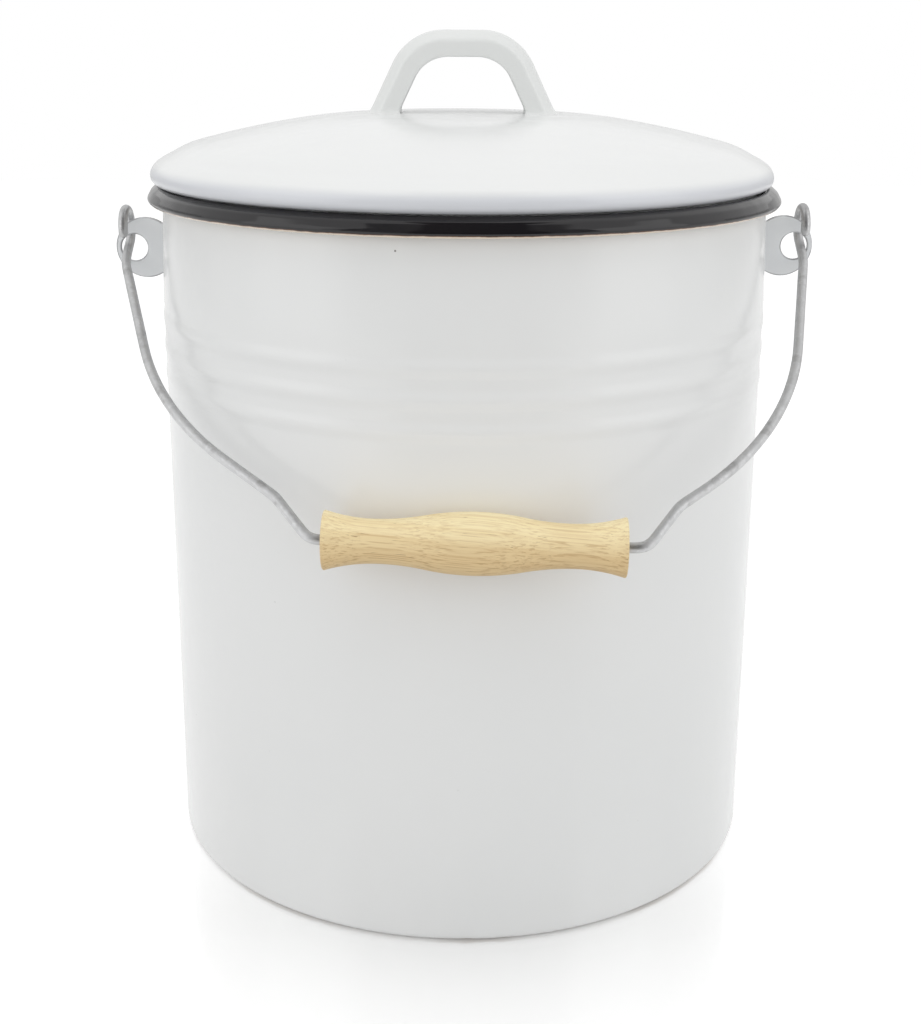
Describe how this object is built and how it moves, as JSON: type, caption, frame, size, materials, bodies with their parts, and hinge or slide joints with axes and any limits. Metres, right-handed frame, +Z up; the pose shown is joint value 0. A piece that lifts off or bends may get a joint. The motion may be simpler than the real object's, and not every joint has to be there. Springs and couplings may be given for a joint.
{
  "type": "lidded pail",
  "caption": "Round enamelled steel pail with a rolled rim, a loose domed lid with an arched handle, and a wire bail with a turned wooden grip.",
  "frame": {"origin": "middle of the whole object's box in plan, on the floor that the pail stands on; the pail's own axis stands at y = 9.85 mm behind it", "axes": "+Z up; +X to the right, seen from the front; -Y to the front, where the bail hangs down"},
  "size_m": [0.304, 0.2899, 0.3537],
  "materials": {
    "white_enamel": "glossy vitreous enamel on sheet steel, white with a slight grey cast",
    "black_enamel": "glossy vitreous enamel, black, on the rolled rim",
    "galvanised_wire": "dull hot-dip galvanised steel wire, slightly mottled",
    "oak": "smooth turned pale oak, clear matte finish, grain along the grip"
  },
  "bodies": {
    "pail": {"pail_wall": "white_enamel", "pail_bottom": "white_enamel", "rim_bead": "black_enamel", "ear_left": "white_enamel", "ear_right": "white_enamel"},
    "bail": {"bail_wire": "galvanised_wire"},
    "grip": {"bail_grip": "oak"},
    "lid": {"lid_shell": "white_enamel", "lid_collar": "white_enamel", "lid_handle": "white_enamel"}
  },
  "joints": [
    {"name": "bail_swing", "type": "hinge", "parent": "pail", "child": "bail", "pos_m": [0, 0.00985, 0.27201], "axis": [-1, 0, -0.0083], "range_deg": [0, 248]},
    {"name": "grip_spin", "type": "hinge", "parent": "bail", "child": "grip", "pos_m": [0.00451, -0.1327, 0.17516], "axis": [0.9995, -0.0305, -0.0104], "continuous": true},
    {"name": "lid_lift", "type": "slide", "parent": "pail", "child": "lid", "axis": [0, 0, 1], "range_m": [0, 0.15]}
  ]
}
